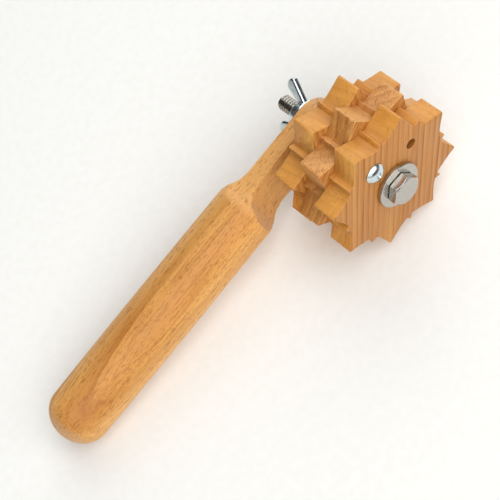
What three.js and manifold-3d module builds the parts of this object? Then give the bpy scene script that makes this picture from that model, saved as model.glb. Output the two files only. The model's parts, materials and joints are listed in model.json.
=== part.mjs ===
// Clay texture wheel: a beech hand roller. Three toothed wooden discs are screwed together into a
// wheel, which spins on a quarter-inch bolt through the milled neck of a turned handle.
//
// Millimetres, +Z up. The tool is drawn in its own frame: X runs along the handle from the grip
// towards the neck, Y along the bolt from its head towards the wing nut, and the two cross at zero.
// At the end it is turned to lie on the bench, on two teeth and the end of the grip.
import * as THREE from "three";
import { mergeVertices } from "three/addons/utils/BufferGeometryUtils.js";
import Module from "manifold-3d";

const wasm = await Module();
wasm.setup();

// Gaps
const seatGap = 0.25; // between faces that rest on each other
const runningGap = 0.25; // end play on each side of the wheel
const boreGap = 0.3; // a bolt or screw in its hole, on the radius

// Handle: a turned grip, then a neck that is milled thin to take the bolt
const gripRadius = 12.4; // in the middle, where the grip swells a little
const gripEndRadius = 12.2;
const gripLength = 150.8; // from the bolt axis to the tip of the round end
const gripDome = 10.5; // length of the round end
const neckThickness = 7; // along the bolt
const neckHalfWidth = 10.1; // also the radius of the neck's round end
const shoulder = 42.3; // from the bolt axis to where the grip begins to be cut away
const drumRadius = 14.5; // the sanding drum that sweeps out the shoulders

// Wheel: three discs of one pattern, each with eight broad teeth and eight small ones between them
const toothCount = 8;
const tipRadius = 30.05;
const smallTipRadius = 25.5;
const rootRadius = 23.75; // the lowest point, at the foot of each small tooth
const rootAngle = 19.3; // degrees from the broad tooth's tip
const flankAngle = 38; // degrees between a flank and the radius at the tip
const rootTangent = 82; // the same where the flank runs out at the root
const tipLand = 0.5; // width of the sanded tips
const discThickness = 10.4;
const edgeEase = 0.3; // sanded edges
const indexRadius = 16.2; // the two screw holes of a disc, from its centre
const indexHoleRadius = 2.4;
const wheelTurn = 33.2; // degrees that the front disc's first tooth leans from Z towards X
const toothPitch = 360 / toothCount;
const middleTurn = -1.5 * toothPitch; // puts the middle disc's teeth in the gaps of the others

// Bolt: a quarter-inch hexagon-head bolt, about 2 1/2 inches long
const boltRadius = 3.15;
const boltLength = 64; // under the head
const headAcrossFlats = 11.1;
const headHeight = 3.8;
const headChamfer = 30; // degrees
const boltPoint = 0.8; // bevel at the threaded end

// Washers, nut and wing nut
const wheelWasherRadius = 9.2; // one at each end of the wheel
const handleWasherRadius = 8.4; // under the wing nut
const washerThickness = 1.6;
const nutAcrossFlats = 11.1;
const nutThickness = 5.4;
const hubBaseRadius = 6.4;
const hubTopRadius = 5.2;
const hubHeight = 4.5;
const wingSpread = 12.4; // from the axis to the outermost point of a wing
const wingRise = 11.9; // from the seat to the tip of a wing
const wingEarRadius = 2.9;
const wingThickness = 2.8;
const wingTurn = 45; // degrees that the wings lean from Z towards X

// Screw: a pan-head wood screw that locks the discs together
const screwHeadRadius = 4.05;
const screwHeadHeight = 2.3;
const screwHeadWall = 0.8; // the upright edge of the head, below its dome
const screwRadius = 2.1;
const screwBite = 7; // how far it reaches into the back disc
const screwPoint = 6;
const recessWidth = 1;
const recessSpan = 4.2;
const recessDepth = 1.6;

// Places along the bolt, worked out from the handle outwards on both sides
const neckFace = neckThickness / 2;
const nutFace = -neckFace - seatGap;
const wheelWasherFace = nutFace - nutThickness - seatGap;
const wheelBack = wheelWasherFace - washerThickness - runningGap;
const wheelFront = wheelBack - 3 * discThickness - 2 * seatGap;
const washerFace = wheelFront - runningGap;
const headFace = washerFace - washerThickness - seatGap;
const handleWasherFace = neckFace + seatGap;
const wingNutFace = handleWasherFace + washerThickness + seatGap;
const screwLength = 2 * discThickness + 3 * seatGap + screwBite;

const radians = THREE.MathUtils.degToRad;
const polar = (radius, degrees) =>
  new THREE.Vector2(radius * Math.cos(radians(degrees)), radius * Math.sin(radians(degrees)));

// Solids, for the pieces that are cut or joined
function toSolid(geometry, matrix = new THREE.Matrix4()) {
  const bare = geometry.clone().applyMatrix4(matrix);
  bare.deleteAttribute("normal");
  bare.deleteAttribute("uv");
  const merged = mergeVertices(bare, 1e-4);
  const triVerts = new Uint32Array(merged.index.array);
  const vertProperties = merged.attributes.position.array;
  return new wasm.Manifold(new wasm.Mesh({ numProp: 3, vertProperties, triVerts }));
}

function toGeometry(solid) {
  const { numProp, vertProperties, triVerts } = solid.getMesh();
  const geometry = new THREE.BufferGeometry();
  geometry.setAttribute("position", new THREE.BufferAttribute(vertProperties, numProp));
  geometry.setIndex(new THREE.BufferAttribute(triVerts, 1));
  const faceted = geometry.toNonIndexed();
  faceted.computeVertexNormals();
  return faceted;
}

// A turned solid about Y, from a list of [radius, height] that starts and ends on the axis, bottom first
function turned(profile, sides) {
  return new THREE.LatheGeometry(
    profile.map(([radius, height]) => new THREE.Vector2(radius, height)),
    sides,
  );
}

// A turned ring about Y: its section closes on itself
function turnedRing(profile, sides) {
  return turned([...profile, profile[0]], sides);
}

// A plate with its outline in X and Y, from z = 0 to its thickness, with eased edges
function plate(shape, thickness, ease, curveSegments) {
  const geometry = new THREE.ExtrudeGeometry(shape, {
    depth: thickness - 2 * ease,
    bevelEnabled: ease > 0,
    bevelThickness: ease,
    bevelSize: ease,
    bevelOffset: -ease,
    bevelSegments: 1,
    curveSegments,
  });
  return geometry.translate(0, 0, ease);
}

// A hexagon about Y with corners on X turned by the given angle, from y = 0 to its height
function hexagon(acrossFlats, height) {
  const corner = acrossFlats / 2 / Math.cos(radians(30));
  const shape = new THREE.Shape();
  for (let side = 0; side < 6; side++) {
    const point = polar(corner, 60 * side);
    if (side === 0) shape.moveTo(point.x, point.y);
    else shape.lineTo(point.x, point.y);
  }
  shape.closePath();
  const prism = new THREE.ExtrudeGeometry(shape, { depth: height, bevelEnabled: false });
  return prism.rotateX(-Math.PI / 2);
}

// The cone that takes the corners off a hexagon at its far face, and at its near face too if asked
function cornerCone(acrossFlats, height, bothEnds) {
  const face = (acrossFlats / 2) * 0.96;
  const outer = acrossFlats;
  const fall = (outer - face) * Math.tan(radians(headChamfer));
  const low = bothEnds ? [[0, 0], [face, 0], [outer, fall]] : [[0, 0], [outer, 0]];
  return turned([...low, [outer, height - fall], [face, height], [0, height]], 48);
}

// A straight hole about Y, long enough to pass through what it cuts
function drill(radius, from, to, sides = 32) {
  return turned([[0, from - 1], [radius, from - 1], [radius, to + 1], [0, to + 1]], sides);
}

// Points along an arc from one angle to another, in degrees, for turned sections and outlines
function arc(centre, radius, from, to, steps) {
  const points = [];
  for (let step = 0; step <= steps; step++) {
    const point = polar(radius, from + ((to - from) * step) / steps);
    points.push([centre[0] + point.x, centre[1] + point.y]);
  }
  return points;
}

// Outline of one disc: broad tooth, swept flank, small tooth and the mirror of all that, repeated
function discOutline() {
  const half = toothPitch / 2;
  const tip = new THREE.Vector2(tipRadius, tipLand / 2);
  const root = polar(rootRadius, rootAngle);
  const fromTip = new THREE.Vector2(-1, 0).rotateAround(new THREE.Vector2(), -radians(flankAngle));
  const fromRoot = new THREE.Vector2(1, 0).rotateAround(new THREE.Vector2(), -radians(rootTangent));
  // the flank leaves the tip and reaches the root along these two lines: their crossing steers it
  const gap = root.clone().sub(tip);
  const reach = gap.cross(fromRoot) / fromTip.cross(fromRoot);
  const steer = tip.clone().addScaledVector(fromTip, reach);
  const small = polar(smallTipRadius, half);
  const side = new THREE.Vector2(-Math.sin(radians(half)), Math.cos(radians(half)));
  const smallLow = small.clone().addScaledVector(side, -tipLand / 2);

  const mirror = (point) => {
    const angle = 2 * radians(half) - point.angle();
    return new THREE.Vector2(Math.cos(angle), Math.sin(angle)).multiplyScalar(point.length());
  };
  const outline = new THREE.Shape();
  for (let tooth = 0; tooth < toothCount; tooth++) {
    const turn = radians(tooth * toothPitch);
    const at = (point) => point.clone().rotateAround(new THREE.Vector2(), turn);
    const go = (point) => outline.lineTo(at(point).x, at(point).y);
    const curve = (by, to) => outline.quadraticCurveTo(at(by).x, at(by).y, at(to).x, at(to).y);
    if (tooth === 0) outline.moveTo(tip.x, tip.y);
    else go(tip);
    curve(steer, root);
    go(smallLow);
    go(mirror(smallLow));
    go(mirror(root));
    curve(mirror(steer), mirror(tip));
  }
  outline.closePath();
  return outline;
}

// One disc about Y, from y = 0 to its thickness, with its first tooth on Z and turning towards X
function makeDisc(turnDegrees) {
  const outline = discOutline();
  const holes = [
    [new THREE.Vector2(), boltRadius + boreGap],
    [polar(indexRadius, -toothPitch), indexHoleRadius],
    [polar(indexRadius, toothPitch / 2), indexHoleRadius],
  ];
  for (const [centre, radius] of holes) {
    const hole = new THREE.Path();
    hole.absarc(centre.x, centre.y, radius, 0, 2 * Math.PI, true);
    outline.holes.push(hole);
  }
  // the outline's x becomes Z, its y becomes X, and its thickness runs along Y
  const stand = new THREE.Matrix4().set(0, 1, 0, 0, 0, 0, 1, 0, 1, 0, 0, 0, 0, 0, 0, 1);
  const geometry = plate(outline, discThickness, edgeEase, 8).applyMatrix4(stand);
  return geometry.rotateY(radians(wheelTurn + turnDegrees));
}

// Handle: the turned blank, cut to the neck's broad flats and then to its rounded side outline
function makeHandle() {
  const domeCentre = gripLength - gripDome;
  const blank = [[0, -gripLength]];
  for (let step = 1; step <= 12; step++) {
    const angle = radians((90 * step) / 12);
    blank.push([gripEndRadius * Math.sin(angle), -domeCentre - gripDome * Math.cos(angle)]);
  }
  for (let step = 1; step <= 8; step++) {
    const swell = (gripRadius - gripEndRadius) * Math.sin((Math.PI * step) / 8);
    blank.push([gripEndRadius + swell, -domeCentre + ((domeCentre - shoulder) * step) / 8]);
  }
  blank.push([gripEndRadius, neckHalfWidth + 2], [0, neckHalfWidth + 2]);
  const alongX = new THREE.Matrix4().makeRotationZ(-Math.PI / 2);
  const turnedBlank = toSolid(turned(blank, 72), alongX);

  // the upper half of an outline along X: the drum sweeps in at the shoulder, down to a flat
  const clear = gripRadius + 1;
  const swept = (depth) => {
    const start = Math.acos(1 - (gripEndRadius - depth) / drumRadius);
    const flatEnd = shoulder - drumRadius * Math.sin(start);
    const rise = Math.acos(1 - (clear - depth) / drumRadius);
    return arc([-flatEnd, depth + drumRadius], drumRadius, 270 - THREE.MathUtils.radToDeg(rise), 270, 10);
  };
  const outlineOf = (upper) => {
    const shape = new THREE.Shape();
    shape.moveTo(-gripLength - 2, clear);
    for (const [x, y] of upper) shape.lineTo(x, y);
    for (const [x, y] of [...upper].reverse()) shape.lineTo(x, -y);
    shape.lineTo(-gripLength - 2, -clear);
    shape.closePath();
    return shape;
  };
  const broad = outlineOf([...swept(neckFace), [neckHalfWidth + 3, neckFace]]);
  const sides = outlineOf([...swept(neckHalfWidth), ...arc([0, 0], neckHalfWidth, 90, 4.5, 19)]);
  const depth = 2 * gripRadius + 4;
  const broadCut = plate(broad, depth, 0, 8).translate(0, 0, -depth / 2);
  const sideCut = plate(sides, depth, 0, 8).translate(0, 0, -depth / 2).rotateX(Math.PI / 2);
  const bore = drill(boltRadius + boreGap, -neckFace, neckFace);
  const neck = toSolid(broadCut).intersect(toSolid(sideCut));
  return toGeometry(turnedBlank.intersect(neck).subtract(toSolid(bore)));
}

// Bolt: a shank with a bevelled end, and a hexagon head with its corners taken off
function makeBolt() {
  const shank = turned(
    [
      [0, -0.5],
      [boltRadius, -0.5],
      [boltRadius, boltLength - boltPoint],
      [boltRadius - boltPoint, boltLength],
      [0, boltLength],
    ],
    32,
  );
  const hexHead = toSolid(hexagon(headAcrossFlats, headHeight));
  const head = hexHead.intersect(toSolid(cornerCone(headAcrossFlats, headHeight, false)));
  const outwards = toSolid(toGeometry(head), new THREE.Matrix4().makeRotationX(Math.PI));
  return toGeometry(outwards.add(toSolid(shank)));
}

// Washer about Y, from y = 0 to its thickness, with worn edges
function makeWasher(washerRadius) {
  const inner = boltRadius + boreGap;
  return turnedRing(
    [
      [inner, 0],
      [washerRadius - edgeEase, 0],
      [washerRadius, edgeEase],
      [washerRadius, washerThickness - edgeEase],
      [washerRadius - edgeEase, washerThickness],
      [inner, washerThickness],
    ],
    48,
  );
}

// Nut about Y, with both faces bevelled
function makeNut() {
  const blank = toSolid(hexagon(nutAcrossFlats, nutThickness));
  const cone = toSolid(cornerCone(nutAcrossFlats, nutThickness, true));
  const bore = toSolid(drill(boltRadius + boreGap, 0, nutThickness));
  return toGeometry(blank.intersect(cone).subtract(bore));
}

// Wing nut about Y with its seat at y = 0: a tapered hub and two upswept ears
function makeWingNut() {
  const hub = turned(
    [
      [0, 0],
      [hubBaseRadius - 0.5, 0],
      [hubBaseRadius, 0.5],
      [hubTopRadius + 0.3, hubHeight - 0.6],
      [hubTopRadius - 0.3, hubHeight],
      [0, hubHeight],
    ],
    40,
  );
  // one ear, from inside the hub: its lower edge swings out and up, its end is round
  const ear = new THREE.Shape();
  const earX = wingSpread - wingEarRadius;
  const earY = wingRise - wingEarRadius;
  ear.moveTo(boltRadius, 1);
  ear.lineTo(hubBaseRadius - 0.5, 1);
  ear.quadraticCurveTo(hubBaseRadius + 3.6, hubHeight - 1.2, wingSpread, earY);
  ear.absarc(earX, earY, wingEarRadius, 0, Math.PI * 0.93, false);
  ear.quadraticCurveTo(hubTopRadius + 1.8, hubHeight + 1, hubTopRadius - 0.8, hubHeight - 0.3);
  ear.lineTo(boltRadius, hubHeight - 0.3);
  ear.closePath();
  const rounding = wingThickness * 0.3;
  const wing = new THREE.ExtrudeGeometry(ear, {
    depth: wingThickness - 2 * rounding,
    bevelThickness: rounding,
    bevelSize: rounding * 0.8,
    bevelOffset: -rounding * 0.8,
    bevelSegments: 3,
    curveSegments: 8,
  }).translate(0, 0, rounding - wingThickness / 2);
  const half = toSolid(wing);
  const other = toSolid(wing, new THREE.Matrix4().makeRotationY(Math.PI));
  const bore = toSolid(drill(boltRadius + boreGap, 0, hubHeight));
  return toGeometry(toSolid(hub).add(half).add(other).subtract(bore));
}

// Screw about Y with its head above y = 0 and its shank below, and a cross recess in the head
function makeScrew() {
  const crown = screwHeadHeight - screwHeadWall;
  const ball = (screwHeadRadius ** 2 + crown ** 2) / (2 * crown);
  const edge = THREE.MathUtils.radToDeg(Math.asin(screwHeadRadius / ball));
  const dome = arc([0, screwHeadHeight - ball], ball, 90 - edge, 90, 6);
  const body = turned(
    [
      [0, -screwLength],
      [screwRadius, -screwLength + screwPoint],
      [screwRadius, 0],
      [screwHeadRadius, 0],
      ...dome.slice(0, -1),
      [0, screwHeadHeight],
    ],
    36,
  );
  // one arm of the cross, narrower at its foot
  const arm = new THREE.Shape();
  const top = screwHeadHeight + 0.5;
  const foot = screwHeadHeight - recessDepth;
  arm.moveTo(-recessSpan / 2, top);
  arm.lineTo(-recessSpan / 5, foot);
  arm.lineTo(recessSpan / 5, foot);
  arm.lineTo(recessSpan / 2, top);
  arm.closePath();
  const slot = plate(arm, recessWidth, 0, 1).translate(0, 0, -recessWidth / 2);
  const across = toSolid(slot, new THREE.Matrix4().makeRotationY(Math.PI / 2));
  return toGeometry(toSolid(body).subtract(toSolid(slot)).subtract(across));
}

const beech = { color: "#d9a066", roughness: 0.55, metalness: 0 };
const beechFace = { color: "#c88f5c", roughness: 0.6, metalness: 0 };
const plainSteel = { color: "#b9b6b0", roughness: 0.35, metalness: 1 };
const brightZinc = { color: "#c8d0d8", roughness: 0.2, metalness: 1 };

function piece(name, geometry, finish) {
  const mesh = new THREE.Mesh(geometry, new THREE.MeshStandardMaterial(finish));
  mesh.name = name;
  return mesh;
}

const tool = new THREE.Group();
tool.add(piece("handle", makeHandle(), beech));

const bolt = piece("axle_bolt", makeBolt(), plainSteel);
bolt.position.y = headFace;
bolt.rotation.y = radians(wheelTurn - 90); // a corner of the head lines up with the first tooth
tool.add(bolt);

const headWasher = piece("head_washer", makeWasher(wheelWasherRadius), plainSteel);
headWasher.position.y = headFace + seatGap;
tool.add(headWasher);

const wheelWasher = piece("wheel_washer", makeWasher(wheelWasherRadius), plainSteel);
wheelWasher.position.y = wheelWasherFace - washerThickness;
tool.add(wheelWasher);

const nut = piece("axle_nut", makeNut(), plainSteel);
nut.position.y = nutFace - nutThickness;
nut.rotation.y = radians(15);
tool.add(nut);

// the wheel: the front disc first, the middle one turned so that its second hole takes the screw
const wheel = new THREE.Group();
wheel.position.y = wheelFront;
["front", "middle", "back"].forEach((place, index) => {
  const disc = piece(`texture_disc_${place}`, makeDisc(place === "middle" ? middleTurn : 0), beechFace);
  disc.position.y = index * (discThickness + seatGap);
  wheel.add(disc);
});
const screw = piece("disc_screw", makeScrew(), brightZinc);
const screwAngle = radians(wheelTurn - toothPitch);
screw.position.set(indexRadius * Math.sin(screwAngle), -seatGap, indexRadius * Math.cos(screwAngle));
screw.rotation.set(Math.PI, screwAngle, 0);
wheel.add(screw);
tool.add(wheel);

const handleWasher = piece("handle_washer", makeWasher(handleWasherRadius), brightZinc);
handleWasher.position.y = handleWasherFace;
tool.add(handleWasher);

const wingNut = piece("wing_nut", makeWingNut(), brightZinc);
wingNut.position.y = wingNutFace;
wingNut.rotation.y = radians(wingTurn - 90);
tool.add(wingNut);

// The bench touches the inner corners of two teeth, one on the middle disc and one on the back disc,
// and the round end of the grip, whose lowest point depends on the slope and is found in a few steps
function benchNormal() {
  const corner = (degrees, y) => {
    const angle = radians(degrees);
    return new THREE.Vector3(tipRadius * Math.sin(angle), y, tipRadius * Math.cos(angle));
  };
  const lowest = 180 - ((180 - wheelTurn) % toothPitch);
  const backTooth = corner(lowest, wheelBack);
  const middleTooth = corner(lowest + toothPitch / 2, wheelBack - discThickness - seatGap);
  const domeCentre = new THREE.Vector3(gripDome - gripLength, 0, 0);
  const domeAxes = new THREE.Vector3(gripDome, gripEndRadius, gripEndRadius);
  let up = new THREE.Vector3(0, 0, 1);
  for (let round = 0; round < 8; round++) {
    const along = up.clone().multiply(domeAxes);
    const grip = along.clone().normalize().multiply(domeAxes).negate().add(domeCentre);
    const teeth = backTooth.clone().sub(middleTooth);
    up = grip.clone().sub(middleTooth).cross(teeth).normalize();
    if (up.z < 0) up.negate();
  }
  return up;
}

const up = benchNormal();
const across = up.clone().cross(new THREE.Vector3(1, 0, 0)).normalize();
const along = across.clone().cross(up);
const lie = new THREE.Matrix4().makeBasis(along, across, up).transpose();
tool.quaternion.setFromRotationMatrix(lie);

// the origin is on the bench, under the middle of the tool
const clayTextureWheel = new THREE.Group();
clayTextureWheel.add(tool);
const extent = new THREE.Box3().setFromObject(clayTextureWheel, true);
const middle = extent.getCenter(new THREE.Vector3());
tool.position.set(-middle.x, -middle.y, -extent.min.z);

export default clayTextureWheel;
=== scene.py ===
# Clay texture wheel: three toothed beech discs, screwed together, spin on a quarter-inch bolt
# through the milled neck of a turned beech handle
import json
import math
import bmesh
import bpy
from mathutils import Matrix, Vector


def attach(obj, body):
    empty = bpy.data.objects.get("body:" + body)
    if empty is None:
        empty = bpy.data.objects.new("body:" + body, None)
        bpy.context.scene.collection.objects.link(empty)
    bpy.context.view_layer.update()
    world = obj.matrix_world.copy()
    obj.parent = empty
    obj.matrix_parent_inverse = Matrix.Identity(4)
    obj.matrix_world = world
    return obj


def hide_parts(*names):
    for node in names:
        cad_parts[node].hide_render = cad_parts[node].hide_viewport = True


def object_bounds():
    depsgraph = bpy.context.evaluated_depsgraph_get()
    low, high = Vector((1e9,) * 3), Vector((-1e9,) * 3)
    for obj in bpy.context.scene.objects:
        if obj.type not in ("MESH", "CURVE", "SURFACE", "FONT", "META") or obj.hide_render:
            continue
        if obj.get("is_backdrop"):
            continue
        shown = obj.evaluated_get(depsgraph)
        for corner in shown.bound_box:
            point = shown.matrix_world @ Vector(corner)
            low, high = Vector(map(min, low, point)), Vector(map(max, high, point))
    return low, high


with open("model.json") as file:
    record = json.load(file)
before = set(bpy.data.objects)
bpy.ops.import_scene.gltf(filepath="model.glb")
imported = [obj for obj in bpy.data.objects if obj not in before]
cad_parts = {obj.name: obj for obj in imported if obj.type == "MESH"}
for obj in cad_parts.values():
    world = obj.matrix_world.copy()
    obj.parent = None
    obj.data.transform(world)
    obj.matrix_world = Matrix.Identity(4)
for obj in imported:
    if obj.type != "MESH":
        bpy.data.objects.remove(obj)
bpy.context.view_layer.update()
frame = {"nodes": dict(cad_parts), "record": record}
nodes = frame["nodes"]
scene = bpy.context.scene
print("frame loaded:", len(nodes), "nodes")

# The tool's own frame in millimetres, from the record's two mounts: X runs along the handle, Y along
# the bolt from its head to the wing nut, and the two cross at zero
mounts = {mount["name"]: mount for mount in frame["record"]["mounts"]}
boltWay = -Vector(mounts["bolt_head_face"]["axis"]).normalized()
edgeWay = Vector(mounts["neck_edge_flat"]["axis"]).normalized()
handleWay = boltWay.cross(edgeWay)
headPlace = Vector(mounts["bolt_head_face"]["pos_m"])
neckPlace = Vector(mounts["neck_edge_flat"]["pos_m"])
crossing = headPlace + boltWay * (neckPlace - headPlace).dot(boltWay)
toolTurn = Matrix((handleWay, boltWay, edgeWay)).transposed()
toolToWorld = Matrix.Translation(crossing) @ toolTurn.to_4x4() @ Matrix.Scale(0.001, 4)
worldToTool = toolToWorld.inverted()

# a cutter reaches this far past what it cuts, in millimetres
spare = 1


def alongBolt(name):
    # lowest and highest place of a node along the bolt
    places = [(worldToTool @ vert.co).y for vert in nodes[name].data.vertices]
    return min(places), max(places)


def onBolt(place, turn=0.0):
    # local z runs along the bolt, and local x leans by the turn from Z towards X
    lean = math.radians(turn)
    rows = ((math.sin(lean), math.cos(lean), 0), (0, 0, 1), (math.cos(lean), -math.sin(lean), 0))
    return Matrix.Translation((0, place, 0)) @ Matrix(rows).to_4x4()


# Shapes
def polar(radius, degrees):
    return Vector((radius * math.cos(math.radians(degrees)), radius * math.sin(math.radians(degrees)), 0))


def placed(bm, matrix):
    bmesh.ops.transform(bm, matrix=matrix, verts=bm.verts)
    return bm


def joined(*shapes):
    # several closed shapes in one mesh
    whole = bmesh.new()
    for shape in shapes:
        part = bpy.data.meshes.new("part")
        shape.to_mesh(part)
        shape.free()
        whole.from_mesh(part)
        bpy.data.meshes.remove(part)
    return whole


def turned(profile, steps, closed=False):
    # a section of (radius, height) pairs, spun about local z
    bm = bmesh.new()
    verts = [bm.verts.new((radius, 0, height)) for radius, height in profile]
    pairs = list(zip(verts, verts[1:])) + ([(verts[-1], verts[0])] if closed else [])
    edges = [bm.edges.new(pair) for pair in pairs]
    bmesh.ops.spin(
        bm, geom=verts + edges, cent=(0, 0, 0), axis=(0, 0, 1), angle=2 * math.pi, steps=steps,
        use_merge=True,
    )
    bmesh.ops.remove_doubles(bm, verts=bm.verts, dist=0.0005)
    bmesh.ops.recalc_face_normals(bm, faces=bm.faces)
    return bm


def rod(radius, low, high, sides):
    return turned([(0, low), (radius, low), (radius, high), (0, high)], sides)


def thickened(bm, depth):
    # flat faces at z = 0, extruded to their depth
    grown = bmesh.ops.extrude_face_region(bm, geom=bm.faces[:])["geom"]
    raised = [g for g in grown if isinstance(g, bmesh.types.BMVert)]
    bmesh.ops.translate(bm, vec=(0, 0, depth), verts=raised)
    bmesh.ops.recalc_face_normals(bm, faces=bm.faces)
    return bm


def slab(outline, depth):
    # an outline in x and y, extruded from z = 0 to its depth
    bm = bmesh.new()
    bm.faces.new([bm.verts.new((point[0], point[1], 0)) for point in outline])
    return thickened(bm, depth)


def holderOf(bm, name="holder"):
    mesh = bpy.data.meshes.new(name)
    bm.to_mesh(mesh)
    bm.free()
    holder = bpy.data.objects.new(name, mesh)
    scene.collection.objects.link(holder)
    return holder


def withModifiers(holder):
    # the shape that an object's modifiers make, as a fresh bmesh
    made = holder.evaluated_get(bpy.context.evaluated_depsgraph_get())
    bm = bmesh.new()
    bm.from_mesh(made.to_mesh())
    made.to_mesh_clear()
    return bm


def drop(*holders):
    for holder in holders:
        mesh = holder.data
        bpy.data.objects.remove(holder)
        bpy.data.meshes.remove(mesh)


def combined(bm, other, operation):
    body, tool = holderOf(bm), holderOf(other)
    change = body.modifiers.new("combine", "BOOLEAN")
    change.object, change.operation, change.solver = tool, operation, "EXACT"
    result = withModifiers(body)
    drop(body, tool)
    return result


def softened(bm, grid, rounds):
    # rebuilt on a fine grid, which joins what overlaps, and smoothed so that its edges are rounded
    body = holderOf(bm)
    change = body.modifiers.new("rebuild", "REMESH")
    change.mode, change.voxel_size = "VOXEL", grid
    result = withModifiers(body)
    drop(body)
    for _ in range(rounds):
        bmesh.ops.smooth_vert(
            result, verts=result.verts, factor=0.5, use_axis_x=True, use_axis_y=True, use_axis_z=True
        )
    return result


def eased(bm, width, segments, sharpest):
    # rounds every edge whose faces meet at more than that angle
    edges = [e for e in bm.edges if len(e.link_faces) == 2 and e.calc_face_angle() > math.radians(sharpest)]
    bmesh.ops.bevel(
        bm, geom=edges, offset=width, offset_type="OFFSET", affect="EDGES", segments=segments,
        profile=0.5, material=-1,
    )
    return bm


def addPiece(name, bm, body, cadNode, material, crease=40):
    # a finished piece: many-sided faces are its flats, and the rest is shaded smooth
    bmesh.ops.recalc_face_normals(bm, faces=bm.faces)
    placed(bm, toolToWorld)
    for face in bm.faces:
        face.smooth = len(face.verts) <= 4
    piece = holderOf(bm, name)
    piece.data.set_sharp_from_angle(angle=math.radians(crease))
    piece.data.materials.append(material)
    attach(piece, body)
    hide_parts(cadNode)
    print(name, "made:", len(piece.data.polygons), "faces")


# Materials
def hexColour(code):
    # sRGB hex to linear
    parts = [int(code[i:i + 2], 16) / 255 for i in (1, 3, 5)]
    return [p / 12.92 if p <= 0.04045 else ((p + 0.055) / 1.055) ** 2.4 for p in parts] + [1]


def node(tree, kind, settings=None, inputs=None, stops=()):
    # adds a node: settings are its properties, an input is a value, a socket or a node whose first
    # output is meant, and stops are the (place, hex) pairs of a colour ramp
    made = tree.nodes.new("ShaderNode" + kind)
    for key, value in (settings or {}).items():
        setattr(made, key, value)
    for key, value in (inputs or {}).items():
        source = value.outputs[0] if isinstance(value, bpy.types.Node) else value
        if isinstance(source, bpy.types.NodeSocket):
            tree.links.new(source, made.inputs[key])
        else:
            made.inputs[key].default_value = source
    for index, (place, colour) in enumerate(stops):
        element = made.color_ramp.elements[index] if index < 2 else made.color_ramp.elements.new(place)
        element.position = place
        element.color = hexColour(colour)
    return made


def newMaterial(name):
    material = bpy.data.materials.new(name)
    material.use_nodes = True
    tree = material.node_tree
    tree.nodes.clear()
    shader = node(tree, "BsdfPrincipled")
    node(tree, "OutputMaterial", {}, {"Surface": shader})
    return material, tree, shader


# nearly every value of a noise lies between these two
noiseLow, noiseHigh = 0.3, 0.7

# What all the beech has in common: pairs are the two ends of a range, shares are parts of one, and the
# depth of the relief is in metres
figure = {
    "ringShare": (0.55, 1.2),
    "endFacing": (0.35, 0.9),
    "streakNoise": (0.47, 0.67),
    "poreNoise": (0.5, 0.72),
    "poreShare": 0.4,
    "endRingShare": 0.6,
    "fleckReach": (0.14, 0.34),
    "fleckBlur": 0.07,
    "faintestFleck": 0.25,
    "fleckRelief": -0.3,
    "flankFacing": (0.1, 0.5),
    "streakRelief": 0.8,
    "reliefDepth": 0.00006,
    "roughSpread": 0.06,
    "sheenRough": 0.4,
    "refraction": 1.5,
}


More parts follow.
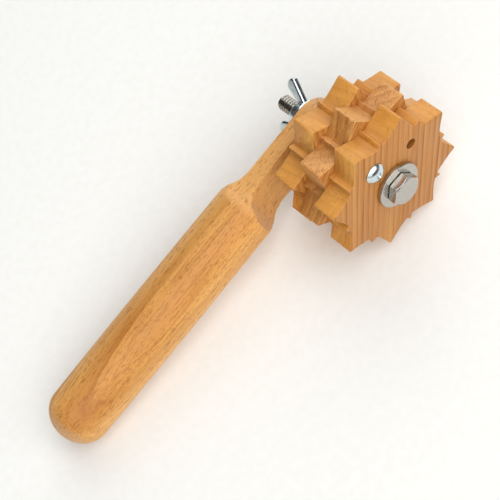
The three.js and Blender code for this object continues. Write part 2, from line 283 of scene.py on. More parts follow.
# Steamed beech, sanded and left bare: warm brown growth rings that darken to a thin line, short brown
# ray flecks where the saw ran along the rings, finely pored end grain, and a satin surface with a pale
# sheen of raised fibres, so that it reads as dry wood without varnish
def beech(name, wood):
    material, tree, shader = newMaterial(name)
    times, plus, mixer = {"operation": "MULTIPLY"}, {"operation": "MULTIPLY_ADD"}, {"data_type": "RGBA"}
    smooth = {"interpolation_type": "SMOOTHSTEP"}

    # millimetres along the fibre, across the rings and beside them
    place = node(tree, "TexCoord")
    turn = Matrix((wood["grain"], wood["across"], wood["grain"].cross(wood["across"]))).transposed()
    fibre = node(tree, "Mapping", {"vector_type": "TEXTURE"}, {
        "Vector": place.outputs["Object"],
        "Location": crossing,
        "Rotation": (toolTurn @ turn).to_euler(),
        "Scale": (0.001, 0.001, 0.001),
    })
    along, across, beside = node(tree, "SeparateXYZ", {}, {0: fibre}).outputs

    # how deep in the log: the rings swing and ripple as the tree grew, and bend towards the grip's end
    depth = node(tree, "Math", plus, {0: along, 1: wood["slope"], 2: across})
    bendReach = wood["bendReach"]
    bent = node(tree, "Math", plus, {0: along, 1: -1 / bendReach, 2: wood["bendFrom"] / bendReach})
    bent = node(tree, "Math", {"operation": "EXPONENT"}, {0: bent})
    depth = node(tree, "Math", plus, {0: bent, 1: -wood["bend"], 2: depth})
    for key, scale in (("warp", (0.011, 0.06, 0.06)), ("ripple", (0.05, 0.4, 0.4))):
        spread = node(tree, "Mapping", {}, {
            "Vector": fibre, "Location": (wood["seed"], 3, 7), "Scale": scale,
        })
        swing = node(tree, "TexNoise", {}, {"Vector": spread, "Scale": 1.0, "Detail": 1.0})
        depth = node(tree, "Math", plus, {0: swing, 1: wood[key], 2: depth})
    log = node(tree, "CombineXYZ", {}, {0: along, 1: depth, 2: beside})

    # noises: 1 over these scales is their grain in millimetres along the fibre, across the rings and
    # beside them. Pores and streaks are coarser than real, so that they show
    noises = {}
    for key, scale, detail, shift in (
        ("drift", (0.012, 0.24, 0.1), 2, 1),
        ("patch", (0.05, 0.5, 0.3), 2, 4),
        ("streak", (0.035, 2.4, 1.1), 3, 5),
        ("pores", (0.9, 4.5, 4.5), 2, 9),
    ):
        spread = node(tree, "Mapping", {}, {
            "Vector": log, "Location": (shift, 2 * shift, wood["seed"]), "Scale": scale,
        })
        noises[key] = node(tree, "TexNoise", {}, {"Vector": spread, "Scale": 1.0, "Detail": float(detail)})

    # growth rings: each has its own profile of darkness, and no two are as strong
    count = node(tree, "Math", plus, {0: depth, 1: 1 / wood["ring"], 2: wood["phase"]})
    ring = node(tree, "Math", {"operation": "FRACT"}, {0: count})
    band = node(tree, "ValToRGB", {}, {0: ring}, wood["band"])
    floor = node(tree, "Math", {"operation": "FLOOR"}, {0: count})
    year = node(tree, "TexWhiteNoise", {"noise_dimensions": "1D"}, {"W": floor})
    strength = node(tree, "MapRange", {}, {0: year, 3: wood["weakest"], 4: 1.0})
    faint, strong = figure["ringShare"]
    uneven = node(tree, "MapRange", {}, {
        0: noises["patch"], 1: noiseLow, 2: noiseHigh, 3: faint, 4: strong,
    })
    fromSide, toSide, farSide = wood["fadeBeside"]
    fromEnd, toEnd, farEnd = wood["fadeAlong"]
    sideFade = node(tree, "MapRange", smooth, {0: beside, 1: fromSide, 2: toSide, 3: 1.0, 4: farSide})
    endFade = node(tree, "MapRange", smooth, {0: along, 1: fromEnd, 2: toEnd, 3: 1.0, 4: farEnd})
    for factor in (strength, uneven, sideFade, endFade):
        band = node(tree, "Math", times, {0: band, 1: factor})

    # how far the surface faces along the fibre, and beside the rings
    towards = {"operation": "DOT_PRODUCT"}
    ends = node(tree, "VectorMath", towards, {0: place.outputs["Normal"], 1: toolTurn @ turn.col[0]})
    ends = node(tree, "Math", {"operation": "ABSOLUTE"}, {0: ends.outputs["Value"]})
    endFrom, endTo = figure["endFacing"]
    ends = node(tree, "MapRange", smooth, {0: ends, 1: endFrom, 2: endTo, 3: 0.0, 4: wood["endShare"]})
    flats = node(tree, "VectorMath", towards, {0: place.outputs["Normal"], 1: toolTurn @ turn.col[2]})
    flats = node(tree, "Math", {"operation": "ABSOLUTE"}, {0: flats.outputs["Value"]})
    rays = node(tree, "MapRange", smooth, {
        0: flats, 1: 0.5, 2: 1.0, 3: wood["sideFlecks"], 4: wood["flatFlecks"],
    })
    contrast = node(tree, "MapRange", {}, {0: flats, 3: wood["sideRings"], 4: wood["flatRings"]})
    band = node(tree, "Math", times, {0: band, 1: contrast})

    # from the pale early wood to the ring lines and the fine brown streaks between them
    flat = node(tree, "ValToRGB", {}, {0: noises["drift"]}, wood["flat"])
    side = node(tree, "ValToRGB", {}, {0: noises["drift"]}, wood["side"])
    colour = node(tree, "Mix", mixer, {"Factor": flats, "A": side, "B": flat}).outputs["Result"]
    late = hexColour(wood["late"])
    colour = node(tree, "Mix", mixer, {"Factor": band, "A": colour, "B": late}).outputs["Result"]
    thinFrom, thinTo = figure["streakNoise"]
    thin = node(tree, "MapRange", {}, {
        0: noises["streak"], 1: thinFrom, 2: thinTo, 3: 0.0, 4: wood["streak"],
    })
    colour = node(tree, "Mix", mixer, {"Factor": thin, "A": colour, "B": late}).outputs["Result"]

    # a milled part is left rougher than a turned one, and so it is paler; the paler neck is partly that
    # rougher finish and partly painted light, lifting the neck where the wheel shades it
    milledFrom, milledTo, share = wood["milled"]
    milled = node(tree, "MapRange", smooth, {0: along, 1: milledFrom, 2: milledTo, 3: 0.0, 4: share})
    pale = hexColour(wood["pale"])
    colour = node(tree, "Mix", mixer, {"Factor": milled, "A": colour, "B": pale}).outputs["Result"]

    # end grain has its own colour, fine brown pores and fainter rings
    fleck = hexColour(wood["fleck"])
    poreFrom, poreTo = figure["poreNoise"]
    pore = node(tree, "MapRange", {}, {
        0: noises["pores"], 1: poreFrom, 2: poreTo, 3: 0.0, 4: figure["poreShare"],
    })
    cut = node(tree, "Mix", mixer, {"Factor": pore, "A": hexColour(wood["end"]), "B": fleck})
    inner = node(tree, "Math", times, {0: band, 1: figure["endRingShare"]})
    cut = node(tree, "Mix", mixer, {"Factor": inner, "A": cut.outputs["Result"], "B": late})
    cut = cut.outputs["Result"]
    colour = node(tree, "Mix", mixer, {"Factor": ends, "A": colour, "B": cut}).outputs["Result"]

    # ray flecks: thin ribbons that run deep across the rings and show as short dashes, each set moved
    # along from the one before it
    relief = noises["pores"]
    nearest, farthest = figure["fleckReach"]
    for shift, size in enumerate(wood["flecks"]):
        spread = node(tree, "Mapping", {}, {
            "Vector": log,
            "Location": (31.7 * shift, 0.0, wood["seed"]),
            "Scale": [1 / side for side in size],
        })
        cells = node(tree, "TexVoronoi", {}, {"Vector": spread, "Scale": 1.0})
        own = node(tree, "SeparateColor", {}, {0: cells.outputs["Color"]})
        reach = node(tree, "MapRange", {}, {0: own.outputs[0], 3: nearest, 4: farthest})
        inside = node(tree, "Math", {"operation": "SUBTRACT"}, {0: reach, 1: cells.outputs["Distance"]})
        shape = node(tree, "MapRange", smooth, {0: inside, 1: 0.0, 2: figure["fleckBlur"], 3: 0.0, 4: 1.0})
        shade = node(tree, "MapRange", {}, {0: own.outputs[1], 3: figure["faintestFleck"], 4: 1.0})
        dark = node(tree, "Math", times, {0: shape, 1: shade})
        dark = node(tree, "Math", times, {0: dark, 1: rays})
        colour = node(tree, "Mix", mixer, {"Factor": dark, "A": colour, "B": fleck}).outputs["Result"]
        relief = node(tree, "Math", plus, {0: shape, 1: figure["fleckRelief"], 2: relief})

    # painted shade: the sawn flanks are darker towards the roots of the teeth, standing in for the shade
    # that falls in the hollows between them
    spoke = node(tree, "VectorMath", {"operation": "SUBTRACT"}, {0: place.outputs["Object"], 1: crossing})
    spoke = node(tree, "VectorMath", {"operation": "CROSS_PRODUCT"}, {0: spoke, 1: boltWay})
    radius = node(tree, "VectorMath", {"operation": "LENGTH"}, {0: spoke}).outputs["Value"]
    rootRadius, outerRadius, share = wood["paintedRootShade"]
    paintedRootShade = node(tree, "MapRange", smooth, {0: radius, 1: rootRadius, 2: outerRadius, 3: share, 4: 0.0})
    sawn = node(tree, "VectorMath", towards, {0: place.outputs["Normal"], 1: boltWay}).outputs["Value"]
    sawn = node(tree, "Math", {"operation": "ABSOLUTE"}, {0: sawn})
    sawnTo, faceFrom = figure["flankFacing"]
    sawn = node(tree, "MapRange", smooth, {0: sawn, 1: sawnTo, 2: faceFrom, 3: 1.0, 4: 0.0})
    paintedRootShade = node(tree, "Math", times, {0: paintedRootShade, 1: sawn})
    paintedShadeColour = hexColour(wood["paintedShadeTone"])
    colour = node(tree, "Mix", mixer, {"Factor": paintedRootShade, "A": colour, "B": paintedShadeColour}).outputs["Result"]

    # painted shade: the walls of drilled holes are darkened, standing in for the shade that falls inside
    # them
    holeShadeMask = node(tree, "Attribute", {"attribute_name": "paintedHoleShade"}).outputs["Fac"]
    colour = node(tree, "Mix", mixer, {"Factor": holeShadeMask, "A": colour, "B": paintedShadeColour}).outputs["Result"]

    # the streaks are felt and dull the surface a little, and the flecks are sunk in it
    height = node(tree, "Math", plus, {0: noises["streak"], 1: figure["streakRelief"], 2: relief})
    bump = node(tree, "Bump", {}, {
        "Strength": wood["bump"], "Distance": figure["reliefDepth"], "Height": height,
    })
    spread = figure["roughSpread"]
    gloss = node(tree, "MapRange", {}, {
        0: noises["streak"], 1: noiseLow, 2: noiseHigh, 3: wood["rough"] - spread, 4: wood["rough"] + spread,
    })
    tree.links.new(colour, shader.inputs["Base Color"])
    tree.links.new(gloss.outputs[0], shader.inputs["Roughness"])
    tree.links.new(bump.outputs[0], shader.inputs["Normal"])
    shader.inputs["IOR"].default_value = figure["refraction"]
    shader.inputs["Sheen Weight"].default_value = wood["sheen"]
    shader.inputs["Sheen Roughness"].default_value = figure["sheenRough"]
    shader.inputs["Sheen Tint"].default_value = hexColour(wood["pale"])
    return material


# What both platings have in common: sizes of noises as above, and the depth of the relief in metres
plating = {
    "patches": 0.45,
    "scratchTurn": (0.4, 0.9, 0.3),
    "scratches": (0.25, 3.2, 3.2),
    "roughShare": (0.8, 1.25),
    "reliefDepth": 0.00003,
}


# Zinc-plated steel: a thin plating over rolled or cast metal, so reflections are a little blurred, uneven
# from patch to patch and broken by specks and fine scratches
def platedSteel(name, metal):
    material, tree, shader = newMaterial(name)
    place = node(tree, "TexCoord")
    scaled = node(tree, "Mapping", {"vector_type": "TEXTURE"}, {
        "Vector": place.outputs["Object"], "Scale": (0.001, 0.001, 0.001),
    })
    # specks and scratches about a third of a millimetre wide, coarser than real so that they show
    specks = node(tree, "TexNoise", {}, {"Vector": scaled, "Scale": metal["specks"], "Detail": 3.0})
    patches = node(tree, "TexNoise", {}, {"Vector": scaled, "Scale": plating["patches"], "Detail": 2.0})
    drawn = node(tree, "Mapping", {}, {
        "Vector": scaled, "Rotation": plating["scratchTurn"], "Scale": plating["scratches"],
    })
    scratches = node(tree, "TexNoise", {}, {"Vector": drawn, "Scale": 1.0, "Detail": 3.0})
    colour = node(tree, "ValToRGB", {}, {0: specks}, metal["colours"])
    smoothest, roughest = (metal["rough"] * share for share in plating["roughShare"])
    gloss = node(tree, "MapRange", {}, {
        0: patches, 1: noiseLow, 2: noiseHigh, 3: smoothest, 4: roughest,
    })
    relief = node(tree, "Math", {"operation": "ADD"}, {0: specks, 1: scratches})
    bump = node(tree, "Bump", {}, {
        "Strength": metal["bump"], "Distance": plating["reliefDepth"], "Height": relief,
    })
    tree.links.new(colour.outputs[0], shader.inputs["Base Color"])
    tree.links.new(gloss.outputs[0], shader.inputs["Roughness"])
    tree.links.new(bump.outputs[0], shader.inputs["Normal"])
    shader.inputs["Metallic"].default_value = 1.0
    return material


# The bolt, its nut and the washers beside the wheel are plated grey, and the clamp and screw bluish
dullZinc = platedSteel("dullZincPlate", {
    "colours": [(0.35, "#b3b0aa"), (0.5, "#bbb8b2"), (0.66, "#c3c0ba")],
    "rough": 0.24,
    "specks": 3.0,
    "bump": 0.2,
})
brightZinc = platedSteel("brightBlueZincPlate", {
    "colours": [(0.35, "#cdd8db"), (0.5, "#d4dee1"), (0.66, "#dbe5e7")],
    "rough": 0.22,
    "specks": 2.2,
    "bump": 0.08,
})

# Handle: turned from one beech blank, then milled thin at one end into the neck
handle = {
    "gripRadius": 12.4,
    "endRadius": 12.2,
    "length": 150.8,
    "dome": 10.5,
    "neckHalf": 3.5,
    "neckHalfWidth": 10.1,
    "shoulder": 42.3,
    "drum": 14.5,
    "drumSteps": 20,
    "bore": 3.35,
    "boreReach": 9,
    "sides": 160,
    "grid": 0.42,
    "rounds": 5,
}
# In a wood, what is called flat is for a surface that faces beside the rings, and what is called side
# for one that faces across them. Colours are from the darker to the paler patches of the timber
handleWood = {
    # along the fibre and across the rings, in the tool's frame
    "grain": Vector((1, 0, 0)),
    "across": Vector((0, -0.658, 0.753)).normalized(),
    "seed": 1.7,
    # width of a ring, where the count of rings starts, and the darkness of the faintest
    "ring": 3.3,
    "phase": 62.985,
    "weakest": 0.12,
    # the rings fade between these two places, to this share of their strength
    "fadeBeside": (-2.0, 7.0, 0.4),
    "fadeAlong": (-110.0, -40.0, 0.35),
    # darkness of a ring from its early wood to its late wood
    "band": [(0.0, "#cbcbcb"), (0.4, "#cecece"), (0.8, "#ededed"), (0.96, "#ffffff"), (1.0, "#cbcbcb")],
    # the rings lean by this slope, bend by this much at this place on the fibre, and swing
    "slope": 0.0,
    "bendFrom": -131.2,
    "bendReach": 22.0,
    "bend": 2.8,
    "warp": 0.35,
    "ripple": 0.35,
    "flat": [(0.3, "#dfa65b"), (0.5, "#e7ae64"), (0.7, "#efb870")],
    "side": [(0.3, "#cc8634"), (0.7, "#db9843")],
    "late": "#ab6519",
    # the part milled rougher runs from here to here along the fibre, and is this much paler, partly for its
    # rougher finish and partly as painted light on the neck
    "milled": (-44.0, -40.0, 0.3),
    "pale": "#f6bf78",
    "flatRings": 0.95,
    "sideRings": 0.95,
    "streak": 0.5,
    "fleck": "#8a4b16",
    # spacing in millimetres along the fibre, across the rings and beside them, for each set
    "flecks": ((2.7, 6.0, 0.38), (3.6, 7.0, 0.48), (5.0, 9.0, 0.62)),
    "sideFlecks": 0.75,
    "flatFlecks": 0.6,
    "end": "#d8ac7e",
    "endShare": 0.8,
    # the colour of the painted shade in the hollows between the teeth and inside drilled holes
    "paintedShadeTone": "#a0642a",
    # painted shade: sawn flanks are darkened by this share at the first distance from the bolt (m), down to
    # none at the second
    "paintedRootShade": (0.0234, 0.0268, 0.0),
    "rough": 0.5,
    "bump": 0.35,
    "sheen": 0.5,
}


def makeHandle():
    domeCentre = handle["length"] - handle["dome"]
    blank = [(0, -handle["length"])]
    for step in range(1, 19):
        angle = math.radians(5 * step)
        blank.append((handle["endRadius"] * math.sin(angle), -domeCentre - handle["dome"] * math.cos(angle)))
    for step in range(1, 13):
        swell = (handle["gripRadius"] - handle["endRadius"]) * math.sin(math.pi * step / 12)
        place = (domeCentre - handle["shoulder"]) * step / 12 - domeCentre
        blank.append((handle["endRadius"] + swell, place))
    farEnd = handle["neckHalfWidth"] + 2 * spare
    blank += [(handle["endRadius"], farEnd), (0, farEnd)]
    body = placed(turned(blank, handle["sides"]), Matrix.Rotation(math.radians(90), 4, "Y"))

    def swept(depth):
        # the sanding drum sweeps in at the shoulder, down to a flat at that depth
        clear = handle["gripRadius"] + spare
        drum, steps = handle["drum"], handle["drumSteps"]
        start = math.acos(1 - (handle["endRadius"] - depth) / drum)
        flatEnd = -handle["shoulder"] + drum * math.sin(start)
        rise = math.acos(1 - (clear - depth) / drum)
        angles = [rise * (1 - step / steps) for step in range(steps + 1)]
        return [(flatEnd - drum * math.sin(angle), depth + drum * (1 - math.cos(angle))) for angle in angles]

    def outline(upper):
        start = -handle["length"] - 2 * spare
        top = [(start, handle["gripRadius"] + spare)] + upper
        return top + [(x, -y) for x, y in reversed(top)]

    depth = 2 * handle["gripRadius"] + 4 * spare
    half = Matrix.Translation((0, 0, -depth / 2))
    broad = placed(slab(outline(swept(handle["neckHalf"]) + [(farEnd, handle["neckHalf"])]), depth), half)
    roundEnd = [tuple(polar(handle["neckHalfWidth"], 90 - 5 * step).xy) for step in range(18)]
    sides = placed(slab(outline(swept(handle["neckHalfWidth"]) + roundEnd), depth), half)
    placed(sides, Matrix.Rotation(math.radians(90), 4, "X"))
    bore = placed(rod(handle["bore"], -handle["boreReach"], handle["boreReach"], 48), onBolt(0))
    for shape, operation in ((broad, "INTERSECT"), (sides, "INTERSECT"), (bore, "DIFFERENCE")):
        body = combined(body, shape, operation)
    return softened(body, handle["grid"], handle["rounds"])


addPiece(
    "beechHandle", makeHandle(), "handle_frame", "handle", beech("beechHandle", handleWood)
)

# Discs: sawn from beech boards, each with eight broad teeth and eight small ones between them
disc = {
    "teeth": 8,
    "tip": 30.54,
    "tipRound": 1.0,
    "small": 26.0,
    "smallRound": 0.95,
    "root": 23.75,
    "rootAngle": 19.3,
    "flankAngle": 38,
    "rootTangent": 82,
    "flankSteps": 10,
    "ease": 0.35,
    "holeEase": 0.15,
    "holeSides": 64,
    "bore": 3.4,
    "indexHole": 2.1,
    "indexPlace": 16.2,
    "firstTooth": 33.2,
    "middleTurn": -67.5,
    "seat": 0.1,
}


def makeDisc(place, thickness, turn):
    pitch = 360 / disc["teeth"]
    bm = bmesh.new()
    tip = polar(disc["tip"], 0)
    root = polar(disc["root"], disc["rootAngle"])
    fromTip = polar(-1, -disc["flankAngle"])
    fromRoot = polar(1, -disc["rootTangent"])
    # the flank leaves the tip and reaches the root along these two lines: their crossing steers it
    gap = root - tip
    steer = tip + fromTip * (gap.xy.cross(fromRoot.xy) / fromTip.xy.cross(fromRoot.xy))
    points = []
    for step in range(disc["flankSteps"] + 1):
        t = step / disc["flankSteps"]
        points.append(tip * (1 - t) ** 2 + steer * 2 * t * (1 - t) + root * t * t)
    points.append(polar(disc["small"], pitch / 2))
    verts = [bm.verts.new(point) for point in points]
    edges = [bm.edges.new(pair) for pair in zip(verts, verts[1:])]
    bmesh.ops.mirror(bm, geom=verts + edges, axis="Y", merge_dist=0.001)
    bmesh.ops.spin(
        bm, geom=bm.verts[:] + bm.edges[:], cent=(0, 0, 0), axis=(0, 0, 1),
        angle=math.radians(360 - pitch), steps=disc["teeth"] - 1, use_duplicate=True,
    )
    bmesh.ops.remove_doubles(bm, verts=bm.verts, dist=0.001)
    bmesh.ops.edgeloop_fill(bm, edges=bm.edges)
    for radius, width in ((disc["tip"], disc["tipRound"]), (disc["small"], disc["smallRound"])):
        tips = [v for v in bm.verts if abs(v.co.length - radius) < 0.001]
        bmesh.ops.bevel(
            bm, geom=tips, offset=width, offset_type="OFFSET", affect="VERTICES", segments=4,
            profile=0.5, material=-1,
        )
    eased(thickened(bm, thickness), disc["ease"], 3, 60)

    # the bore and the two index holes, a little flared at both faces
    holes = [
        (Vector((0, 0, 0)), disc["bore"]),
        (polar(disc["indexPlace"], -pitch), disc["indexHole"]),
        (polar(disc["indexPlace"], pitch / 2), disc["indexHole"]),
    ]
    for centre, radius in holes:
        flare = disc["holeEase"]
        wide, top = radius + flare + spare, thickness + spare
        section = [(0, -spare), (wide, -spare), (radius, flare), (radius, thickness - flare), (wide, top)]
        drill = turned(section + [(0, top)], disc["holeSides"])
        bm = combined(bm, placed(drill, Matrix.Translation(centre)), "DIFFERENCE")
    # painted shade: the faces of a hole's wall are marked, to be darkened in the material as the shade
    # inside the hole
    paintedHoleShade = bm.faces.layers.float.new("paintedHoleShade")
    for face in bm.faces:
        middle = face.calc_center_median()
        face[paintedHoleShade] = float(any((middle - centre).xy.length < radius for centre, radius in holes))
    return placed(bm, onBolt(place, disc["firstTooth"] + turn))


def discWood(fibreTurn, ringLean, seed, **own):
    # the fibre lies in the disc, turned from Z towards X, and the rings lean away from the bolt
    angle, lean = math.radians(fibreTurn), math.radians(ringLean)
    wood = dict(
        handleWood,
        grain=Vector((math.sin(angle), 0, math.cos(angle))),
        across=Vector((math.cos(angle) * math.cos(lean), math.sin(lean), -math.sin(angle) * math.cos(lean))),
        seed=seed,
        ring=2.65,
        phase=0.0,
        weakest=0.5,
        fadeBeside=(-1.0, 1.0, 1.0),
        fadeAlong=(-1.0, 1.0, 1.0),
        band=[
            (0.0, "#606060"), (0.14, "#404040"), (0.5, "#a0a0a0"), (0.88, "#ffffff"), (0.95, "#e0e0e0"),
            (1.0, "#606060"),
        ],
        slope=0.03,
        bend=0.0,
        warp=2.6,
        ripple=0.5,
        flat=[(0.3, "#c1803b"), (0.5, "#ca8b44"), (0.7, "#d3974e")],
        # the side and end colours fall on the sawn flanks: partly the yellower wood cut across the rings,
        # and partly painted light, lighter than the faces for the light that the flanks catch
        side=[(0.3, "#da9037"), (0.5, "#e9a347"), (0.7, "#f7bb5b")],
        late="#9c581a",
        flatRings=1.0,
        sideRings=0.25,
        milled=(-1.0, 1.0, 0.0),
        # painted shade in the hollows between the teeth, towards their roots
        paintedRootShade=(0.0234, 0.0268, 0.35),
        sheen=0.1,
        streak=0.34,
        flecks=((3.2, 5.0, 0.8), (4.4, 6.0, 1.1)),
        sideFlecks=0.28,
        flatFlecks=0.08,
        end="#dd9b49",
        endShare=0.7,
    )
    wood.update(own)
    return wood


# Turn of the teeth, turn of the fibre, lean of the rings, seed, and what differs in the wood: the
# middle disc was sawn from a paler, pinker board and shows rougher grain
discBoards = {
    "front": (0, 33.2, 6, 3.1, {}),
    "middle": (disc["middleTurn"], 64.7, 38, 8.1, {
        # the middle board's flank colours are likewise lighter partly as painted light
        "side": [(0.3, "#e09e58"), (0.7, "#efb56c")],
        "end": "#e9ae67",
        "sideRings": 0.1,
        "streak": 0.5,
        "flecks": ((2.0, 3.0, 0.5), (2.8, 4.0, 0.7), (3.6, 5.0, 0.9)),
        "sideFlecks": 0.6,
        "bump": 0.6,
    }),
    "back": (0, 21.0, 12, 13.1, {}),
}
for name, (turn, fibreTurn, ringLean, seed, own) in discBoards.items():
    low, high = alongBolt(f"texture_disc_{name}")
    # neighbours meet, so each disc takes up nearly half of the gap that the solids keep
    low -= disc["seat"] if name != "front" else 0
    high += disc["seat"] if name != "back" else 0
    addPiece(
        f"{name}Disc", makeDisc(low, high - low, turn), "wheel", f"texture_disc_{name}",
        beech(f"beech{name.capitalize()}Disc", discWood(fibreTurn, ringLean, seed, **own)), 35,
    )

# Bolt, washers and nut
bolt = {
    "radius": 3.13,
    "acrossFlats": 11.1,
    "chamfer": 30,
    # how much of the width across flats the chamfer leaves on the head's face
    "flat": 0.94,
    # the round face under the head: its radius and height, and its gap to the washer
    "bearingRadius": 5.1,
    "bearing": 0.35,
    "seat": 0.05,
    "inHead": 0.5,
    "grid": 0.13,
    "rounds": 2,
    "pitch": 1.27,
    "threadFrom": -2.0,
    "runOut": 0.7,
    "point": 0.9,
    "turn": 33.2,
}
# The thread's depth as a share of its pitch, and its section over one pitch: how far in from the crest
# (0) to the root (1), and the height. A flat root, a flank, a flat crest and a flank
thread = {
    "depth": 0.6,
    "section": ((1, 0), (1, 0.12), (0, 0.42), (0, 0.7), (1, 1)),
    "steps": 40,
}


def hexagon(acrossFlats, height, faceShare, bothEnds):
    # a hexagonal bar with its corners taken off by a cone at the far end, or at both
    corner = acrossFlats / 2 / math.cos(math.radians(30))
    bar = slab([polar(corner, 60 * side).xy for side in range(6)], height)
    face = acrossFlats / 2 * faceShare
    fall = (acrossFlats - face) * math.tan(math.radians(bolt["chamfer"]))
    low = [(0, 0), (face, 0), (acrossFlats, fall)] if bothEnds else [(0, -spare), (acrossFlats, -spare)]
    cone = turned(low + [(acrossFlats, height - fall), (face, height), (0, height)], 96)
    return combined(bar, cone, "INTERSECT")


def threaded(crest, pitch, low, high, point):
    # one pitch of the section is spun up the bolt, then trimmed to its length and pointed
    bm = bmesh.new()
    deep, steps = thread["depth"] * pitch, thread["steps"]
    verts = [
        bm.verts.new((crest - deep * inwards, 0, low + (share - 1) * pitch))
        for inwards, share in thread["section"]
    ]
    edges = [bm.edges.new(pair) for pair in zip(verts, verts[1:])]
    turns = math.ceil((high - low) / pitch) + 2
    bmesh.ops.spin(
        bm, geom=verts + edges, cent=(0, 0, 0), axis=(0, 0, 1), dvec=(0, 0, pitch / steps),
        angle=2 * math.pi * turns, steps=steps * turns,
    )
    bmesh.ops.remove_doubles(bm, verts=bm.verts, dist=0.002)
    for height, way in ((low, -1), (high, 1)):
        cut = bmesh.ops.bisect_plane(
            bm, geom=bm.verts[:] + bm.edges[:] + bm.faces[:], dist=0.0001, plane_co=(0, 0, height),
            plane_no=(0, 0, way), clear_outer=True,
        )
        rim = [g for g in cut["geom_cut"] if isinstance(g, bmesh.types.BMEdge)]
        bmesh.ops.edgeloop_fill(bm, edges=rim)
    bmesh.ops.recalc_face_normals(bm, faces=bm.faces)
    wide, start = crest + spare, low - spare
    taper = [(0, start), (wide, start), (wide, high - point - spare), (crest - point, high), (0, high)]
    return combined(bm, turned(taper, 64), "INTERSECT")


def makeBolt():
    low, high = alongBolt("axle_bolt")
    under = alongBolt("head_washer")[0] - bolt["seat"]
    head = hexagon(bolt["acrossFlats"], under - low - bolt["bearing"], bolt["flat"], False)
    bearing = placed(rod(bolt["bearingRadius"], 0, 1, 64), Matrix.Translation((0, 0, -bolt["bearing"])))
    # the head points outwards, away from the handle
    outwards = onBolt(under - bolt["bearing"], bolt["turn"]) @ Matrix.Rotation(math.pi, 4, "X")
    head = softened(placed(joined(head, bearing), outwards), bolt["grid"], bolt["rounds"])
    # the plain shank starts inside the head and runs out inside the thread
    radius, runOut, inside = bolt["radius"], bolt["runOut"], under - bolt["inHead"]
    shank = turned([(0, inside), (radius, inside), (radius, 0), (radius - runOut, runOut), (0, runOut)], 64)
    threadedEnd = threaded(radius, bolt["pitch"], bolt["threadFrom"], high, bolt["point"])
    return joined(head, placed(joined(shank, threadedEnd), onBolt(0)))


addPiece("hexBolt", makeBolt(), "handle_frame", "axle_bolt", dullZinc)

washer = {"bore": 3.5, "ease": 0.3, "sides": 96}


def makeWasher(name, growLow, growHigh):
    # punched from sheet, so its rims are a little rounded
    low, high = alongBolt(name)
    low, high = low - growLow, high + growHigh
    inner = washer["bore"]
    outer = max((worldToTool @ vert.co).xz.length for vert in nodes[name].data.vertices)
    corners = [(inner, low), (outer, low), (outer, high), (inner, high)]
    return placed(eased(turned(corners, washer["sides"], closed=True), washer["ease"], 4, 60), onBolt(0))


# The pair says how far a washer reaches past its solid on either side, to meet its neighbour
for name, body, grow, slot, finish in (
    ("head_washer", "handle_frame", (0.15, 0.0), "plain_steel", dullZinc),
    ("wheel_washer", "handle_frame", (0.0, 0.1), "plain_steel", dullZinc),
    ("handle_washer", "clamp_washer", (0.2, 0.0), "bright_zinc", brightZinc),
):
    title = "".join(word.capitalize() for word in name.split("_"))
    addPiece(f"flat{title}", makeWasher(name, *grow), body, name, finish)

nut = {"growLow": 0.1, "growHigh": 0.15, "flat": 0.95, "bore": 3.3, "grid": 0.15, "rounds": 2, "turn": 45}


def makeNut():
    low, high = alongBolt("axle_nut")
    low, high = low - nut["growLow"], high + nut["growHigh"]
    bar = hexagon(bolt["acrossFlats"], high - low, nut["flat"], True)
    bar = combined(bar, rod(nut["bore"], -spare, high - low + spare, 48), "DIFFERENCE")
    return softened(placed(bar, onBolt(low, nut["turn"])), nut["grid"], nut["rounds"])


addPiece("hexNut", makeNut(), "handle_frame", "axle_nut", dullZinc)

# Wing nut: cast in one, a tapered hub and two upswept ears
wing = {
    "hubBase": 6.4,
    "hubTop": 5.2,
    "hubHeight": 4.5,
    "baseEase": 0.5,
    # two corners of the rim at the hub's top, out from its radius and down from its height
    "topRim": ((0.3, 0.6), (-0.4, 0)),
    "bore": 3.25,
    "boreEase": 0.4,
    "seat": 0.2,
    "spread": 12.4,
    "rise": 11.9,
    "ear": 2.9,
    # the ear's foot, inside the hub, and what steers its lower and its upper edge
    "foot": (0.6, 1),
    "lowerSwing": 2.4,
    "upperSwing": (0.4, 2.4),
    "upperFoot": (-0.8, -0.3),
    "thickness": 2.8,
    "round": 0.8,
    "turn": 45,
    "grid": 0.17,
    "rounds": 3,
}


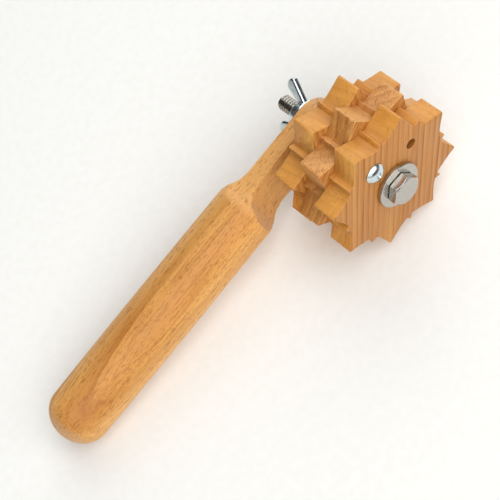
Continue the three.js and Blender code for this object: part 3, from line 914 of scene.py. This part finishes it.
def makeWingNut():
    low = alongBolt("wing_nut")[0] - wing["seat"]
    bore, base, top, height = wing["bore"], wing["hubBase"], wing["hubTop"], wing["hubHeight"]
    inner, outer = bore + wing["boreEase"], base - wing["baseEase"]
    section = [(bore, wing["boreEase"]), (inner, 0), (outer, 0), (base, wing["baseEase"])]
    section += [(top + out, height - down) for out, down in wing["topRim"]]
    section += [(inner, height), (bore, height - wing["boreEase"])]
    hub = turned(section, 72, closed=True)
    # an ear from inside the hub: its lower edge swings out and up, and its end is round
    hubTop = Vector((top, height))
    centre = Vector((wing["spread"] - wing["ear"], wing["rise"] - wing["ear"]))

    def curve(a, b, c):
        steps = [step / 10 for step in range(11)]
        return [a * (1 - t) ** 2 + b * 2 * t * (1 - t) + c * t * t for t in steps]

    inside, foot = bore + wing["foot"][0], wing["foot"][1]
    swing = Vector((base + wing["lowerSwing"], height))
    lower = curve(Vector((outer, foot)), swing, Vector((wing["spread"], centre.y)))
    rounded = [centre + polar(wing["ear"], 12 * step).xy for step in range(1, 14)]
    upperFoot = hubTop + Vector(wing["upperFoot"])
    upper = curve(centre + polar(wing["ear"], 168).xy, hubTop + Vector(wing["upperSwing"]), upperFoot)
    outline = [Vector((inside, foot))] + lower + rounded + upper + [Vector((inside, upperFoot.y))]
    ears = []
    for turn in (0, 180):
        ear = slab(outline, wing["thickness"])
        rims = [edge for edge in ear.edges if any(len(face.verts) > 4 for face in edge.link_faces)]
        bmesh.ops.bevel(
            ear, geom=rims, offset=wing["round"], offset_type="OFFSET", affect="EDGES", segments=4,
            profile=0.5, material=-1,
        )
        placed(ear, Matrix.Translation((0, 0, -wing["thickness"] / 2)))
        placed(ear, Matrix.Rotation(math.radians(90), 4, "X"))
        ears.append(placed(ear, Matrix.Rotation(math.radians(turn), 4, "Z")))
    whole = softened(joined(hub, *ears), wing["grid"], wing["rounds"])
    return placed(whole, onBolt(low, wing["turn"]))


addPiece("wingNut", makeWingNut(), "wing_nut", "wing_nut", brightZinc)

# Screw: pan head with a cross recess, through one index hole of each disc
screw = {
    "head": 4.05,
    "crown": 2.15,
    "wall": 0.5,
    "rim": 0.1,
    "inHead": 0.3,
    "radius": 2.0,
    "point": 6,
    "recessWidth": 0.8,
    # half of the recess's span at its foot, this deep in the head, and at this height above the head
    "recessFoot": 0.84,
    "recessDepth": 1.1,
    "recessTop": 2.1,
    "recessOver": 0.5,
    "recessTurn": 20,
    "grid": 0.09,
    "rounds": 2,
}


def makeScrew():
    low, high = alongBolt("disc_screw")
    seat = alongBolt("texture_disc_front")[0]
    ball = (screw["head"] ** 2 + screw["crown"] ** 2) / (2 * screw["crown"])
    topHeight = screw["wall"] + screw["crown"]
    dome = [(0, 0), (screw["head"] - screw["rim"], 0), (screw["head"], screw["rim"])]
    edge = math.asin(screw["head"] / ball)
    for step in range(13):
        angle = edge * (1 - step / 12)
        dome.append((ball * math.sin(angle), topHeight - ball + ball * math.cos(angle)))
    head = turned(dome, 96)
    top, foot = topHeight + screw["recessOver"], topHeight - screw["recessDepth"]
    wide, narrow, width = screw["recessTop"], screw["recessFoot"], screw["recessWidth"]
    for turn in (0, 90):
        slot = slab([(-narrow, foot), (narrow, foot), (wide, top), (-wide, top)], width)
        placed(slot, Matrix.Translation((0, 0, -width / 2)))
        placed(slot, Matrix.Rotation(math.radians(90), 4, "X"))
        turn += screw["recessTurn"]
        head = combined(head, placed(slot, Matrix.Rotation(math.radians(turn), 4, "Z")), "DIFFERENCE")
    head = softened(head, screw["grid"], screw["rounds"])
    # the plain shank ends in a point and starts inside the head
    long, inside = high - seat, screw["inHead"]
    shank = turned(
        [(0, -long), (screw["radius"], -long + screw["point"]), (screw["radius"], inside), (0, inside)], 32
    )
    # through the index hole that lies one tooth before the first
    angle = math.radians(disc["firstTooth"] - 360 / disc["teeth"])
    centre = Vector((math.sin(angle), 0, math.cos(angle))) * disc["indexPlace"]
    outwards = Matrix.Translation(centre) @ onBolt(seat) @ Matrix.Rotation(math.pi, 4, "X")
    return placed(joined(head, shank), outwards)


addPiece("crossScrew", makeScrew(), "wheel", "disc_screw", brightZinc)

# Floor, light and camera
studio = {
    "floor": [(0.3, "#f3f3ef"), (0.7, "#f6f6f3")],
    "floorSize": 6.0,
    "floorGrain": 300.0,
    "floorRough": 0.85,
    "world": "#fbfaf8",
    "worldStrength": 0.05,
    # white area lights: place (m), size (m) and watts. The low one gives the thread its bright crests
    "lights": {
        "overhead": ((0.21, -0.77, 1.39), 1.9, 28.7),
        "right": ((0.84, 0.84, 1.07), 1.5, 11.2),
        "left": ((-1.01, -0.91, 0.85), 1.4, 7.5),
        "low": ((1.35, 0.88, 0.3), 0.6, 2.2),
    },
    "aim": (0.0, 0.0, 0.02),
    # where the photograph was taken from, in millimetres in the tool's frame
    "cameraPlace": (-46.22, -297.97, 436.48),
    "cameraForward": (-0.01097, 0.54701, -0.83705),
    "cameraRight": (0.63337, -0.64397, -0.42910),
    "lens": 101.2,
    "clip": (0.01, 20),
}


def makeStudio():
    bm = bmesh.new()
    bmesh.ops.create_grid(bm, x_segments=1, y_segments=1, size=studio["floorSize"] / 2)
    floor = holderOf(bm, "floor")
    material, tree, shader = newMaterial("paperFloor")  # matt white paper, faintly warm
    place = node(tree, "TexCoord")
    grain = node(tree, "TexNoise", {}, {"Vector": place.outputs["Object"], "Scale": studio["floorGrain"]})
    tint = node(tree, "ValToRGB", {}, {0: grain}, studio["floor"])
    tree.links.new(tint.outputs[0], shader.inputs["Base Color"])
    shader.inputs["Roughness"].default_value = studio["floorRough"]
    floor.data.materials.append(material)
    floor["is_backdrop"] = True

    world = bpy.data.worlds.new("softRoom")
    world.use_nodes = True
    back = world.node_tree.nodes["Background"]
    back.inputs["Color"].default_value = hexColour(studio["world"])
    back.inputs["Strength"].default_value = studio["worldStrength"]
    scene.world = world

    for name, (spot, size, watts) in studio["lights"].items():
        lamp = bpy.data.lights.new(name, "AREA")
        lamp.size = size
        lamp.energy = watts
        light = bpy.data.objects.new(name, lamp)
        light.location = spot
        light.rotation_euler = (Vector(studio["aim"]) - Vector(spot)).to_track_quat("-Z", "Y").to_euler()
        scene.collection.objects.link(light)


def makeCamera():
    forward = (toolTurn @ Vector(studio["cameraForward"])).normalized()
    right = (toolTurn @ Vector(studio["cameraRight"])).normalized()
    up = right.cross(forward).normalized()
    data = bpy.data.cameras.new("photoCamera")
    data.lens = studio["lens"]
    data.clip_start, data.clip_end = studio["clip"]
    camera = bpy.data.objects.new("photoCamera", data)
    turn = Matrix((right, up, -forward)).transposed().to_4x4()
    camera.matrix_world = Matrix.Translation(toolToWorld @ Vector(studio["cameraPlace"])) @ turn
    scene.collection.objects.link(camera)
    scene.camera = camera


makeStudio()
makeCamera()
scene.view_settings.view_transform = "Standard"
print("floor, light and camera made")

low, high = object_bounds()
